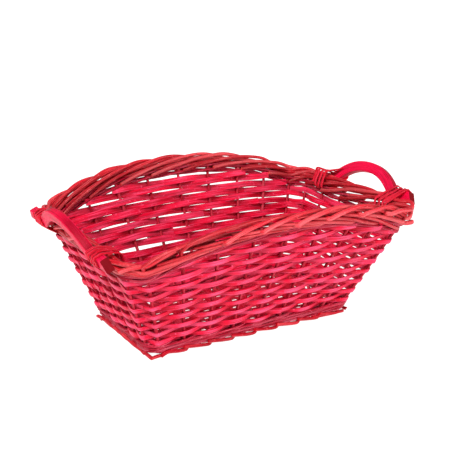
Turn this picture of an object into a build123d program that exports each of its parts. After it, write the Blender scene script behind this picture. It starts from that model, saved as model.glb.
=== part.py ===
from build123d import *
import os
from math import atan2, ceil, cos, floor, pi, sin, sqrt, tan

# Rectangular wicker basket: flared sides on thin round uprights, an arched rim along both
# long sides, bevelled corners, and a sawn wooden bow handle lashed to each short end.
# Millimetres.  X runs along the length, Y across, Z up from the ground under the foot.

# ---- overall form, measured on the middle surface of the walls ----
BASE_LENGTH = 288.0
BASE_WIDTH = 132.0
BASE_BEVEL_X = 11.0
BASE_BEVEL_Y = 10.0
RIM_LENGTH = 400.0
RIM_WIDTH = 238.0
RIM_BEVEL = 19.0
WALL_FOOT = 8.0            # height where the walls start
RIM_HEIGHT = 136.0         # middle of the border at the corners and short ends
RIM_RISE = 34.0            # how much higher the border is halfway along a long side
RIM_ARCH_POWER = 2.2       # shape of that rise

# ---- what the basket is woven from ----
LONG_POSTS = 9             # uprights in each long wall
SHORT_POSTS = 6            # uprights in each short wall
POST_DIAMETER = 4.0
STRIP_THICKNESS = 1.6
STRIP_HEIGHT = 6.45
ROW_PITCH = 7.0
ROW_COUNT = 14
ROW_START = 21.0
WALE_DIAMETER = 3.2
BORDER_DIAMETER = 5.5
FOOT_DIAMETER = 4.6
WEAVE_CLEARANCE = 0.15     # air left between pieces that lie against each other

# ---- border: each rod rolls from outside and below, over the top, to the inside ----
BORDER_HALF_WIDTH = 5.5
BORDER_HALF_HEIGHT = 8.0
BORDER_START_ANGLE = -40.0
BORDER_END_ANGLE = 210.0
BORDER_SPAN = 2.6          # length of a border rod, in gaps between uprights
BORDER_STEPS = 6
BORDER_REACH_DOWN = 7.95   # how far the border's rods reach below its middle
BORDER_BEND = 9.0
WALE_DROPS = (11.4, 14.75)  # how far the two upper wale rounds lie below the border's middle
POST_HEAD_DROP = 9.4       # how far the uprights stop below it
POST_FOOT = 5.8            # height of the uprights' lower ends
SIDING_DROP = 17.0         # how far the siding stops below it

LOWER_WALE_HEIGHTS = (10.2, 13.6, 17.0)
LOWER_WALE_BEND = 1.0
UPPER_WALE_BEND = 2.0

# ---- foot: rods under the walls that overlap like roof tiles ----
FOOT_SPAN = 1.7
FOOT_OFFSET = 4.9
FOOT_BEND = 3.0

# ---- woven base ----
BASE_LEVEL = 9.0
BASE_STICK_DIAMETER = 5.0
BASE_STICK_LENGTH = 268.0
BASE_STICK_SPACING = 20.0
BASE_STICKS = 6
BASE_STRIP_WIDTH = 11.0
BASE_STRIP_PITCH = 12.0
BASE_STRIPS = 22
BASE_STRIP_LENGTH = 114.0

# ---- handles and their lashings ----
HANDLE_THICKNESS = 9.5
HANDLE_DEPTH = 14.0
HANDLE_HALF_LENGTH = 104.0
HANDLE_RISE = 27.0
HANDLE_SHOULDER = 57.0     # where the bow's middle line leaves the flat tab
HANDLE_FLARE = 4.0         # the bow's inner edge starts this much further in, the outer edge out
HANDLE_BOW = ((0.8, 0.34), (0.5, 0.78))  # shares of the shoulder and of the rise along the bow
HANDLE_END_CUT = 8.0
HANDLE_EDGE_ROUND = 1.2
HANDLE_OUT = 13.1          # tab's middle, measured out from the border's middle
HANDLE_UP = 12.4           # and up along the wall
RIGHT_TILT = 5.0           # degrees the right handle is tied on out of level, its front end up
RIGHT_SHIFT = 5.0          # how much further back than the middle it sits
RIGHT_LIFT = 3.5           # and how much higher than the left one
LASH_TURNS = 5
LASH_FIRST = 61.5
LASH_PITCH = 5.5
LASH_WIDTH = 4.6
LASH_THICKNESS = 0.9
LASH_SHOULDER = 0.6        # height of a turn's inner corner, as a share of the border's half height
LASH_CORNER = 0.95         # a turn's lower outer corner, as a share of the border's half width

STRAIGHT = 0.99999          # cosine of a turn too small to bend a rod

POST_COUNT = 2 * (LONG_POSTS + SHORT_POSTS)
SIDES = {
    "front": (0, LONG_POSTS - 1),
    "right": (LONG_POSTS, LONG_POSTS + SHORT_POSTS - 1),
    "back": (LONG_POSTS + SHORT_POSTS, 2 * LONG_POSTS + SHORT_POSTS - 1),
    "left": (2 * LONG_POSTS + SHORT_POSTS, POST_COUNT - 1),
}


def level_points(length, width, bevel_x, bevel_y):
    """Places of the uprights round one level: front, right, back and left, as seen from above."""
    long_step = 2 * (length / 2 - bevel_x) / (LONG_POSTS - 1)
    short_step = 2 * (width / 2 - bevel_y) / (SHORT_POSTS - 1)
    along = [-(length / 2 - bevel_x) + i * long_step for i in range(LONG_POSTS)]
    across = [-(width / 2 - bevel_y) + i * short_step for i in range(SHORT_POSTS)]
    front = [(x, -width / 2) for x in along]
    right = [(length / 2, y) for y in across]
    back = [(-x, width / 2) for x in along]
    left = [(-length / 2, -y) for y in across]
    return front + right + back + left


BASE_POINTS = level_points(BASE_LENGTH, BASE_WIDTH, BASE_BEVEL_X, BASE_BEVEL_Y)
RIM_POINTS = level_points(RIM_LENGTH, RIM_WIDTH, RIM_BEVEL, RIM_BEVEL)


def post_at(k, z):
    """Middle of upright k at height z; every upright is straight."""
    x0, y0 = BASE_POINTS[k % POST_COUNT]
    x1, y1 = RIM_POINTS[k % POST_COUNT]
    t = (z - WALL_FOOT) / (RIM_HEIGHT - WALL_FOOT)
    return Vector(x0 + (x1 - x0) * t, y0 + (y1 - y0) * t, z)


def rim_height(k):
    """Height of the border's middle at upright k: arched on the long sides, level on the short."""
    k %= POST_COUNT
    for side in ("front", "back"):
        first, last = SIDES[side]
        if first <= k <= last:
            t = abs(2 * (k - first) / (last - first) - 1)
            return RIM_HEIGHT + RIM_RISE * (1 - t**RIM_ARCH_POWER)
    return RIM_HEIGHT


def wall_directions(k, z):
    """At upright k: level direction out of the wall, the wall's slope, and how much longer an
    offset is where the wall turns a corner."""
    ahead = (post_at(k + 1, z) - post_at(k, z)).normalized()
    behind = (post_at(k, z) - post_at(k - 1, z)).normalized()
    tangent = (ahead + behind).normalized()
    normal = Vector(tangent.Y, -tangent.X, 0)
    slope = (post_at(k, z + 1) - post_at(k, z)).dot(normal)
    return normal, slope, 1 / tangent.dot(ahead)


def outward(k, z):
    """Level vector out of the wall that gives one millimetre across it."""
    normal, slope, mitre = wall_directions(k, z)
    return normal * (mitre * sqrt(1 + slope**2))


def wall_point(u, drop, offset):
    """Point at a place u along the wall, counted in uprights, a drop down the wall from the
    border's middle and an offset square to the wall."""
    k = floor(u)
    part = u - k
    ends = []
    for post in (k, k + 1):
        top = rim_height(post)
        normal, slope, mitre = wall_directions(post, top)
        length = sqrt(1 + slope**2)
        across = (normal - Vector(0, 0, slope)) * (mitre / length)
        ends.append(post_at(post, top - drop / length) + across * offset)
    return ends[0] * (1 - part) + ends[1] * part


def level_point(u, z, offset):
    """Point at a place u along the wall at one height z, with an offset out of the wall."""
    k = floor(u)
    part = u - k
    near = post_at(k, z) + outward(k, z) * offset
    far = post_at(k + 1, z) + outward(k + 1, z) * offset
    return near * (1 - part) + far * part


def turns_at(before, point, after):
    """Whether a route changes direction at a point."""
    return (point - before).normalized().dot((after - point).normalized()) < STRAIGHT


def add_rod(points, diameter, bend):
    """Round rod along straight runs joined by arcs, added to the part being built."""
    corners = [p for p, q, r in zip(points[1:-1], points, points[2:]) if turns_at(q, p, r)]
    with BuildLine():
        if corners:
            path = FilletPolyline(points[0], *corners, points[-1], radius=bend)
        else:
            path = Line(points[0], points[-1])
    with BuildSketch(Plane(origin=path @ 0, z_dir=path % 0)) as section:
        Circle(diameter / 2)
    sweep(section.sketch, path=path)


def finish(node, label):
    """Name a finished piece and write it."""
    node.part.label = label
    export_step(node.part, f"parts/{label}.step")


# ---- uprights ----
def make_uprights(side):
    first, last = SIDES[side]
    with BuildPart() as uprights:
        for k in range(first, last + 1):
            foot = post_at(k, POST_FOOT)
            head = post_at(k, rim_height(k) - POST_HEAD_DROP)
            with BuildSketch(Plane(origin=foot, z_dir=head - foot)):
                Circle(POST_DIAMETER / 2)
            extrude(amount=(head - foot).length)
    finish(uprights, f"uprights_{side}")


# ---- siding: flat strips that pass in front of one upright and behind the next ----
WEAVE_OFFSET = POST_DIAMETER / 2 + STRIP_THICKNESS / 2 + WEAVE_CLEARANCE
POST_FLAT = 3.6            # half the length over which a strip lies flat against an upright
CORNER_FLAT = 2.4          # the same at a bevelled corner
BUTT_GAP = 1.7             # half the gap where two strips meet on a bevel
CORNER_CLEARANCE = 0.6     # more air at a corner upright, which leans both ways


def weave_side(k, row):
    """1 where a row passes outside upright k, -1 where it passes inside."""
    return 1 if (k + row) % 2 == 0 else -1


def room_past(k, step, z):
    """How far past upright k a short row at height z can run under the border, in gaps."""
    room = rim_height(k) - SIDING_DROP - (z + STRIP_HEIGHT / 2)
    return room / (rim_height(k) - rim_height(k + step))


def strip_outline(z, row, first, last, whole_side):
    """Plan outline of one strip from upright first to upright last."""
    corners = [end for pair in SIDES.values() for end in pair]
    middle = []
    for k in range(first, last + 1):
        normal = outward(k, z)
        tangent = Vector(-normal.Y, normal.X, 0).normalized()
        offset = WEAVE_OFFSET + (CORNER_CLEARANCE if k in corners else 0)
        offset *= weave_side(k, row)
        flat = CORNER_FLAT if k in corners else POST_FLAT
        for along in (-flat, flat):
            middle.append((post_at(k, z) + tangent * along + normal * offset, normal))
    for k, step in ((first, -1), (last, 1)):
        gap = post_at(k + step, z) - post_at(k, z)
        if whole_side:
            end = post_at(k, z) + gap.normalized() * (gap.length / 2 - BUTT_GAP)
            normal = Vector(gap.Y, -gap.X, 0).normalized() * step
        else:
            normal = outward(k, z)
            end = post_at(k, z) + gap * room_past(k, step, z)
            end += normal * WEAVE_OFFSET * weave_side(k, row)
        middle.insert(0 if step < 0 else len(middle), (end, normal))
    half = STRIP_THICKNESS / 2
    outer = [point + normal * half for point, normal in middle]
    inner = [point - normal * half for point, normal in middle]
    return [(p.X, p.Y) for p in outer + inner[::-1]]


def add_strip(z, row, side, first, last, whole_side):
    """One strip of height STRIP_HEIGHT about the height z, leaning with its wall."""
    normal, slope, _ = wall_directions((first + last) // 2, z)
    lean = normal * slope + Vector(0, 0, 1)
    with BuildSketch(Plane.XY.offset(z)) as outline:
        Polygon(*strip_outline(z, row, first, last, whole_side), align=None)
    reach = STRIP_HEIGHT / 2 * lean.length
    extrude(outline.sketch, amount=reach, dir=lean.normalized(), both=True)


def make_row(row):
    """A full round of siding: one strip on each side, meeting on the bevelled corners."""
    with BuildPart() as weaver_row:
        for side, (first, last) in SIDES.items():
            add_strip(ROW_START + (row + 0.5) * ROW_PITCH, row, side, first, last, True)
    finish(weaver_row, f"weaver_row_{row + 1:02d}")


def make_crown_rows(side):
    """Short rows that fill the arch between the top full round and the border."""
    first, last = SIDES[side]
    with BuildPart() as crown_rows:
        for row in range(ROW_COUNT, ROW_COUNT + ceil(RIM_RISE / ROW_PITCH)):
            z = ROW_START + (row + 0.5) * ROW_PITCH
            top = z + STRIP_HEIGHT / 2
            under = [k for k in range(first, last + 1) if rim_height(k) - SIDING_DROP >= top]
            if len(under) > 1:
                add_strip(z, row, side, under[0], under[-1], False)
    finish(crown_rows, f"crown_rows_{side}")


# ---- wales: pairs of thin rods, one outside and one inside the uprights ----
WALE_OFFSET = POST_DIAMETER / 2 + WALE_DIAMETER / 2 + WEAVE_CLEARANCE
WALE_END = 0.44            # how far onto the bevel a wale rod runs, in gaps


def make_lower_wale(side):
    first, last = SIDES[side]
    with BuildPart() as lower_wale:
        for z in LOWER_WALE_HEIGHTS:
            for offset in (WALE_OFFSET, -WALE_OFFSET):
                stops = (first - WALE_END, first, last, last + WALE_END)
                add_rod([level_point(u, z, offset) for u in stops], WALE_DIAMETER, LOWER_WALE_BEND)
    finish(lower_wale, f"lower_wale_{side}")


def make_upper_wale(side):
    first, last = SIDES[side]
    with BuildPart() as upper_wale:
        for drop in WALE_DROPS:
            for offset in (WALE_OFFSET, -WALE_OFFSET):
                inner_stops = range(first, last + 1) if last - first > SHORT_POSTS else (first, last)
                stops = [first - WALE_END, *inner_stops, last + WALE_END]
                points = [wall_point(u, drop, offset) for u in stops]
                add_rod(points, WALE_DIAMETER, UPPER_WALE_BEND)
    finish(upper_wale, f"upper_wale_{side}")


# ---- border: one thick rod from each upright, rolled round the rim like a rope's strands ----
def border_points(k):
    """Middle line of the border rod that starts at upright k."""
    points = []
    for i in range(BORDER_STEPS + 1):
        part = i / BORDER_STEPS
        angle = (BORDER_START_ANGLE + part * (BORDER_END_ANGLE - BORDER_START_ANGLE)) * pi / 180
        u = k + part * BORDER_SPAN
        points.append(wall_point(u, -BORDER_HALF_HEIGHT * sin(angle), BORDER_HALF_WIDTH * cos(angle)))
    return points


def make_border(side):
    first, last = SIDES[side]
    with BuildPart() as border:
        for k in range(first, last + 1):
            add_rod(border_points(k), BORDER_DIAMETER, BORDER_BEND)
    finish(border, f"border_{side}")


# ---- foot ----
def make_foot(side):
    first, last = SIDES[side]
    with BuildPart() as foot:
        for k in range(first, last + 1):
            points = []
            for part in (0, 1 / FOOT_SPAN, 1):
                offset = FOOT_OFFSET * (1 - 2 * part)
                points.append(level_point(k + part * FOOT_SPAN, FOOT_DIAMETER / 2, offset))
            add_rod(points, FOOT_DIAMETER, FOOT_BEND)
    finish(foot, f"foot_{side}")


# ---- woven base ----
def make_base_sticks():
    with BuildPart() as base_sticks:
        with BuildSketch(Plane.YZ.offset(-BASE_STICK_LENGTH / 2)):
            with Locations((0, BASE_LEVEL)):
                with GridLocations(BASE_STICK_SPACING, 1, BASE_STICKS, 1):
                    Circle(BASE_STICK_DIAMETER / 2)
        extrude(amount=BASE_STICK_LENGTH)
    finish(base_sticks, "base_sticks")


def base_strip_outline(phase):
    """Side view of a strip that passes over one base stick and under the next."""
    offset = BASE_STICK_DIAMETER / 2 + STRIP_THICKNESS / 2 + WEAVE_CLEARANCE
    middle = []
    for i in range(BASE_STICKS):
        y = (i - (BASE_STICKS - 1) / 2) * BASE_STICK_SPACING
        side = offset if (i + phase) % 2 == 0 else -offset
        for along in (-POST_FLAT, POST_FLAT):
            middle.append((y + along, BASE_LEVEL + side))
    middle[0] = (-BASE_STRIP_LENGTH / 2, middle[0][1])
    middle[-1] = (BASE_STRIP_LENGTH / 2, middle[-1][1])
    upper = [(y, z + STRIP_THICKNESS / 2) for y, z in middle]
    lower = [(y, z - STRIP_THICKNESS / 2) for y, z in middle]
    return upper + lower[::-1]


def make_base_weavers():
    with BuildPart() as base_weavers:
        for i in range(BASE_STRIPS):
            x = (i - (BASE_STRIPS - 1) / 2) * BASE_STRIP_PITCH
            with BuildSketch(Plane.YZ.offset(x - BASE_STRIP_WIDTH / 2)):
                Polygon(*base_strip_outline(i), align=None)
            extrude(amount=BASE_STRIP_WIDTH)
    finish(base_weavers, "base_weavers")


# ---- handles ----
WALL_RUN = (RIM_LENGTH - BASE_LENGTH) / 2
WALL_LEAN = atan2(WALL_RUN, RIM_HEIGHT - WALL_FOOT)


def end_directions(side_sign):
    """Up along a short end's wall, and square away from it."""
    up = Vector(side_sign * sin(WALL_LEAN), 0, cos(WALL_LEAN))
    away = Vector(side_sign * cos(WALL_LEAN), 0, -sin(WALL_LEAN))
    return up, away


def handle_plane(side_sign, out):
    """Plane of a handle at a distance out of the border's middle: local X along the handle,
    local Y up it."""
    up, away = end_directions(side_sign)
    origin = Vector(side_sign * RIM_LENGTH / 2, 0, RIM_HEIGHT) + away * out
    along = Vector(0, side_sign, 0)
    if side_sign > 0:
        origin += along * RIGHT_SHIFT + up * RIGHT_LIFT
        along = along * cos(RIGHT_TILT * pi / 180) - up * sin(RIGHT_TILT * pi / 180)
    return Plane(origin=origin, x_dir=along, z_dir=away)


def bow_points(shoulder, base):
    """Points along one edge of the bow, from shoulder to shoulder."""
    rising = [(-share * shoulder, base + HANDLE_RISE * rise) for share, rise in HANDLE_BOW]
    falling = [(-x, y) for x, y in rising[::-1]]
    return [(-shoulder, base), *rising, (0, base + HANDLE_RISE), *falling, (shoulder, base)]


def make_handle(name, side_sign):
    """Bow sawn from a board: flat tabs, an arch between them, ends cut at a slant."""
    plane = handle_plane(side_sign, HANDLE_OUT - HANDLE_THICKNESS / 2)
    low = HANDLE_UP - HANDLE_DEPTH / 2
    high = HANDLE_UP + HANDLE_DEPTH / 2
    outer = HANDLE_SHOULDER + HANDLE_FLARE
    inner = HANDLE_SHOULDER - HANDLE_FLARE
    level = [(1, 0), (1, 0)]
    with BuildPart() as handle:
        with BuildSketch(plane):
            with BuildLine():
                Spline(*bow_points(outer, high), tangents=level)
                Polyline(
                    (outer, high),
                    (HANDLE_HALF_LENGTH - HANDLE_END_CUT, high),
                    (HANDLE_HALF_LENGTH, low),
                    (inner, low),
                )
                Spline(*bow_points(inner, low), tangents=level)
                Polyline(
                    (-inner, low),
                    (-HANDLE_HALF_LENGTH, low),
                    (-HANDLE_HALF_LENGTH + HANDLE_END_CUT, high),
                    (-outer, high),
                )
            make_face()
        extrude(amount=HANDLE_THICKNESS)
        faces = handle.faces().sort_by(SortBy.AREA)[-2:]
        fillet(faces.edges(), HANDLE_EDGE_ROUND)
    finish(handle, name)


def lash_outline(rise, slack):
    """Section through the border and a handle tab that a lashing goes round, out and up: the tab
    is a rise higher than usual, and slack is the room for its tilt."""
    wide = BORDER_HALF_WIDTH + BORDER_DIAMETER / 2 + WEAVE_CLEARANCE
    tall = BORDER_HALF_HEIGHT + BORDER_DIAMETER / 2 + WEAVE_CLEARANCE
    low = -BORDER_REACH_DOWN - WEAVE_CLEARANCE
    tab_out = HANDLE_OUT + HANDLE_THICKNESS / 2 + WEAVE_CLEARANCE
    tab_in = HANDLE_OUT - HANDLE_THICKNESS / 2 - WEAVE_CLEARANCE
    tab_low = HANDLE_UP + rise - HANDLE_DEPTH / 2 - WEAVE_CLEARANCE - slack
    tab_high = HANDLE_UP + rise + HANDLE_DEPTH / 2 + WEAVE_CLEARANCE + slack
    return [
        (-wide / 2, low),
        (LASH_CORNER * wide, low),
        (tab_out, tab_low),
        (tab_out, tab_high),
        (tab_in, tab_high),
        (-wide, LASH_SHOULDER * tall),
        (-wide, low / 2),
    ]


def make_lashing(name, side_sign, y_sign):
    """Flat splint wound round the tab and the border, drawn as separate closed turns."""
    up, away = end_directions(side_sign)
    shift, lift, tilt = (RIGHT_SHIFT, RIGHT_LIFT, RIGHT_TILT * pi / 180) if side_sign > 0 else (0, 0, 0)
    slack = LASH_WIDTH / 2 * tan(tilt) + HANDLE_DEPTH / 2 * (1 / cos(tilt) - 1)
    with BuildPart() as lashing:
        for turn in range(LASH_TURNS):
            middle = y_sign * (LASH_FIRST + turn * LASH_PITCH)
            rise = lift - (middle - HANDLE_UP * sin(tilt)) * tan(tilt)
            y = middle + shift - side_sign * LASH_WIDTH / 2
            origin = Vector(side_sign * RIM_LENGTH / 2, y, RIM_HEIGHT)
            section = Plane(origin=origin, x_dir=away, z_dir=Vector(0, side_sign, 0))
            points = []
            for out, height in lash_outline(rise, slack):
                local = section.to_local_coords(origin + away * out + up * height)
                points.append((local.X, local.Y))
            with BuildSketch(section):
                Polygon(*points, align=None)
                offset(amount=LASH_THICKNESS, kind=Kind.INTERSECTION)
                Polygon(*points, align=None, mode=Mode.SUBTRACT)
            extrude(amount=LASH_WIDTH)
    finish(lashing, name)


os.makedirs("parts", exist_ok=True)
for side_name in SIDES:
    make_uprights(side_name)
    make_lower_wale(side_name)
    make_upper_wale(side_name)
    make_border(side_name)
    make_foot(side_name)
for row_number in range(ROW_COUNT):
    make_row(row_number)
make_crown_rows("front")
make_crown_rows("back")
make_base_sticks()
make_base_weavers()
for end_name, end_sign in (("left", -1), ("right", 1)):
    make_handle(f"handle_{end_name}", end_sign)
    make_lashing(f"lashing_{end_name}_front", end_sign, -1)
    make_lashing(f"lashing_{end_name}_back", end_sign, 1)
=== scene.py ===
from math import cos, pi, radians, sin
from typing import NamedTuple

import bpy
import numpy as np
from mathutils import Matrix, Vector


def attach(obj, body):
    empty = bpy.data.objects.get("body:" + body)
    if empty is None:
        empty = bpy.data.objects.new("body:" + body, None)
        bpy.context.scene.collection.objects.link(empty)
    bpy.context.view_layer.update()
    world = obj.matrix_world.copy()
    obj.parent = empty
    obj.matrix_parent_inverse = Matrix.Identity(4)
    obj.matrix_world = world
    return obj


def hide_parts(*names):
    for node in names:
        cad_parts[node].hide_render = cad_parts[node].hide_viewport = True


# The looks of a rectangular wicker basket.  Lengths are in millimetres in the row frame and
# become metres where a mesh is made.  A place along the walls is a number u of uprights,
# counted counter-clockwise from the front left corner: front 0-8, right 9-14, back 15-23,
# left 24-29.  A gap is the distance from one upright to the next.

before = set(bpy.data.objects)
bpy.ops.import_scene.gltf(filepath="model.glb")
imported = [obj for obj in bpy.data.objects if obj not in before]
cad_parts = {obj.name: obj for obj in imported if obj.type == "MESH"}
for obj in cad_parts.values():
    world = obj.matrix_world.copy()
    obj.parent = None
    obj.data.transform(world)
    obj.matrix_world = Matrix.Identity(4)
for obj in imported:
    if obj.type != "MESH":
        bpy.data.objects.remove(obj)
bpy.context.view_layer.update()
rng = np.random.default_rng(11)
MM = 0.001

# ---- the walls, as in the CAD part ----
BASE_SIZE = (288.0, 132.0)
BASE_BEVEL = (11.0, 10.0)
RIM_SIZE = (400.0, 238.0)
RIM_BEVEL = (19.0, 19.0)
WALL_FOOT = 8.0
RIM_HEIGHT = 136.0
RIM_RISE = 34.0
RIM_ARCH_POWER = 2.2
LONG_POSTS = 9
SHORT_POSTS = 6
POSTS = 2 * (LONG_POSTS + SHORT_POSTS)
SIDE_POSTS = {"front": LONG_POSTS, "right": SHORT_POSTS, "back": LONG_POSTS, "left": SHORT_POSTS}
SIDE_FIRST = {
    "front": 0,
    "right": LONG_POSTS,
    "back": LONG_POSTS + SHORT_POSTS,
    "left": 2 * LONG_POSTS + SHORT_POSTS,
}


def posts_of(side):
    """Numbers of the uprights of one wall."""
    return range(SIDE_FIRST[side], SIDE_FIRST[side] + SIDE_POSTS[side])


CORNER_POSTS = [post for side in SIDE_FIRST for post in (posts_of(side)[0], posts_of(side)[-1])]
BEVEL_MIDDLES = np.array([first - 0.5 for first in SIDE_FIRST.values()])


def plan_points(size, bevel):
    """Places of the uprights round one level."""
    half_x, half_y = size[0] / 2, size[1] / 2
    along = np.linspace(-(half_x - bevel[0]), half_x - bevel[0], LONG_POSTS)
    across = np.linspace(-(half_y - bevel[1]), half_y - bevel[1], SHORT_POSTS)
    front = [(x, -half_y) for x in along]
    right = [(half_x, y) for y in across]
    back = [(-x, half_y) for x in along]
    left = [(-half_x, -y) for y in across]
    return np.array(front + right + back + left)


BASE_POINTS = plan_points(BASE_SIZE, BASE_BEVEL)
RIM_POINTS = plan_points(RIM_SIZE, RIM_BEVEL)


def posts_at(k, z):
    """Middle of upright k at height z, for arrays of both."""
    k = np.asarray(k) % POSTS
    share = (np.asarray(z, float) - WALL_FOOT) / (RIM_HEIGHT - WALL_FOOT)
    plan = BASE_POINTS[k] + (RIM_POINTS[k] - BASE_POINTS[k]) * share[..., None]
    return np.concatenate([plan, np.broadcast_to(z, plan.shape[:-1])[..., None]], axis=-1)


def on_wall(u, z):
    """Middle of the wall at places u and heights z."""
    u, z = np.broadcast_arrays(np.asarray(u, float), np.asarray(z, float))
    k = np.floor(u).astype(int)
    part = (u - k)[..., None]
    return posts_at(k, z) * (1 - part) + posts_at(k + 1, z) * part


def unit(v):
    """Vectors of length 1 in the directions of v."""
    return v / np.maximum(np.linalg.norm(v, axis=-1, keepdims=True), 1e-12)


FRAME_REACH = 0.04  # gaps to each side over which a direction along the wall is taken


def wall_frame(u, z):
    """Middle of the wall, and its directions along it, up it and out of it."""
    here = on_wall(u, z)
    along = unit(on_wall(u + FRAME_REACH, z) - on_wall(u - FRAME_REACH, z))
    up = unit(on_wall(u, z + 1) - on_wall(u, z - 1))
    out = unit(np.cross(along, up))
    return here, along, up, out


def gaps_to_bevel(u):
    """Gaps from places u to the middle of the nearest bevelled corner."""
    apart = u - BEVEL_MIDDLES[:, None]
    return np.abs((apart + POSTS / 2) % POSTS - POSTS / 2).min(axis=0)


def arch(u):
    """From 0 at the ends of a long wall and along the short walls to 1 at its middle."""
    u = np.asarray(u, float) % POSTS
    shape = np.zeros_like(u)
    for side in ("front", "back"):
        t = (u - SIDE_FIRST[side]) / (LONG_POSTS - 1)
        inside = (t >= 0) & (t <= 1)
        shape = np.where(inside, 1 - np.abs(2 * t - 1) ** RIM_ARCH_POWER, shape)
    return shape


def rim_height(u):
    """Height of the border's middle."""
    return RIM_HEIGHT + RIM_RISE * arch(u)


# ---- curves ----
def smooth(values, width):
    """Running Gaussian mean along the first axis, ends kept."""
    reach = int(3 * width) + 1
    kernel = np.exp(-0.5 * (np.arange(-reach, reach + 1) / width) ** 2)
    kernel /= kernel.sum()
    before, after = np.repeat(values[:1], reach, 0), np.repeat(values[-1:], reach, 0)
    padded = np.concatenate([before, values, after])
    return sum(w * padded[i:i + len(values)] for i, w in enumerate(kernel))


def wander(count, step, size):
    """Smooth random walk of a given size that changes about every step samples.  Step and size
    of the walks below are kept as pairs."""
    knots = rng.normal(0, size, count // step + 4)
    return np.interp(np.arange(count) / step, np.arange(len(knots)), smooth(knots, 0.7))


def lengths_along(points):
    """Distance of each point of a path from its first point, along the path."""
    steps = np.linalg.norm(np.diff(points, axis=0), axis=1)
    return np.concatenate([[0], np.cumsum(steps)])


def spline(points, count):
    """Catmull-Rom curve through points, as count evenly spaced samples."""
    points = np.asarray(points, float)
    ends = 2 * points[[0, -1]] - points[[1, -2]]
    padded = np.concatenate([ends[:1], points, ends[1:]])
    steps = np.linspace(0, len(points) - 1 - 1e-6, 12 * len(points))
    i = steps.astype(int)
    t = (steps - i)[:, None]
    a, b, c, d = padded[i], padded[i + 1], padded[i + 2], padded[i + 3]
    curve = 0.5 * (2 * b + (c - a) * t + (2 * a - 5 * b + 4 * c - d) * t**2
                   + (3 * b - a - 3 * c + d) * t**3)
    length = lengths_along(curve)
    at = np.linspace(0, length[-1], count)
    return np.stack([np.interp(at, length, curve[:, j]) for j in range(curve.shape[1])], axis=1)


# ---- meshes ----
# Wear and shade is 1 where a piece stands proud and is painted pale, as wear and painted
# highlight, and 0 where it lies deep in the weave and is painted deep, as painted shade.
PLAIN_WEAR_AND_SHADE = 0.5
INNER_WEAR_AND_SHADE = 0.62          # on the inner face of a strip
OUTER_WEAR_AND_SHADE_CHANGE = 0.5    # what standing proud adds on a strip's outer face
INNER_WEAR_AND_SHADE_CHANGE = -0.25  # and on its inner face
EDGE_SHADE = 0.6          # painted shade: how much less wear and shade the edges of a strip have
GRAIN_SHIFT = 500         # longest random shift of the grain along a piece
END_RING = 0.6            # size of the ring inside an end face, in sizes of the face
ROD_LUMPS = 0.04          # how uneven a rod's radius is, in radii
ROD_TWIST = 0.03          # turn of its oval section along it, in radians per millimetre
CUT_LEANS = (0.3, 1.2)    # least and greatest lean of a cut end, in slants
ROD_SIDE = (0.3, 0.5, 0.8)  # a direction in which no rod starts
STRIP_FACE_CROWN = 0.35

# The outline of a strip, across its outer face and back across its inner one: places in half
# widths, heights in thicknesses, and heights of the crown in crowns.
STRIP_ACROSS = np.array([-1, -0.92, -0.5, 0, 0.5, 0.92, 1, 1, 0.9, 0, -0.9, -1])
STRIP_FACE = np.array([0.2, 0.5, 0.5, 0.5, 0.5, 0.5, 0.2, -0.2, -0.5, -0.5, -0.5, -0.2])
STRIP_BULGE = np.array([0, 0.15, 0.75, 1, 0.75, 0.15, 0, 0, 0, 0, 0, 0])


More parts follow.
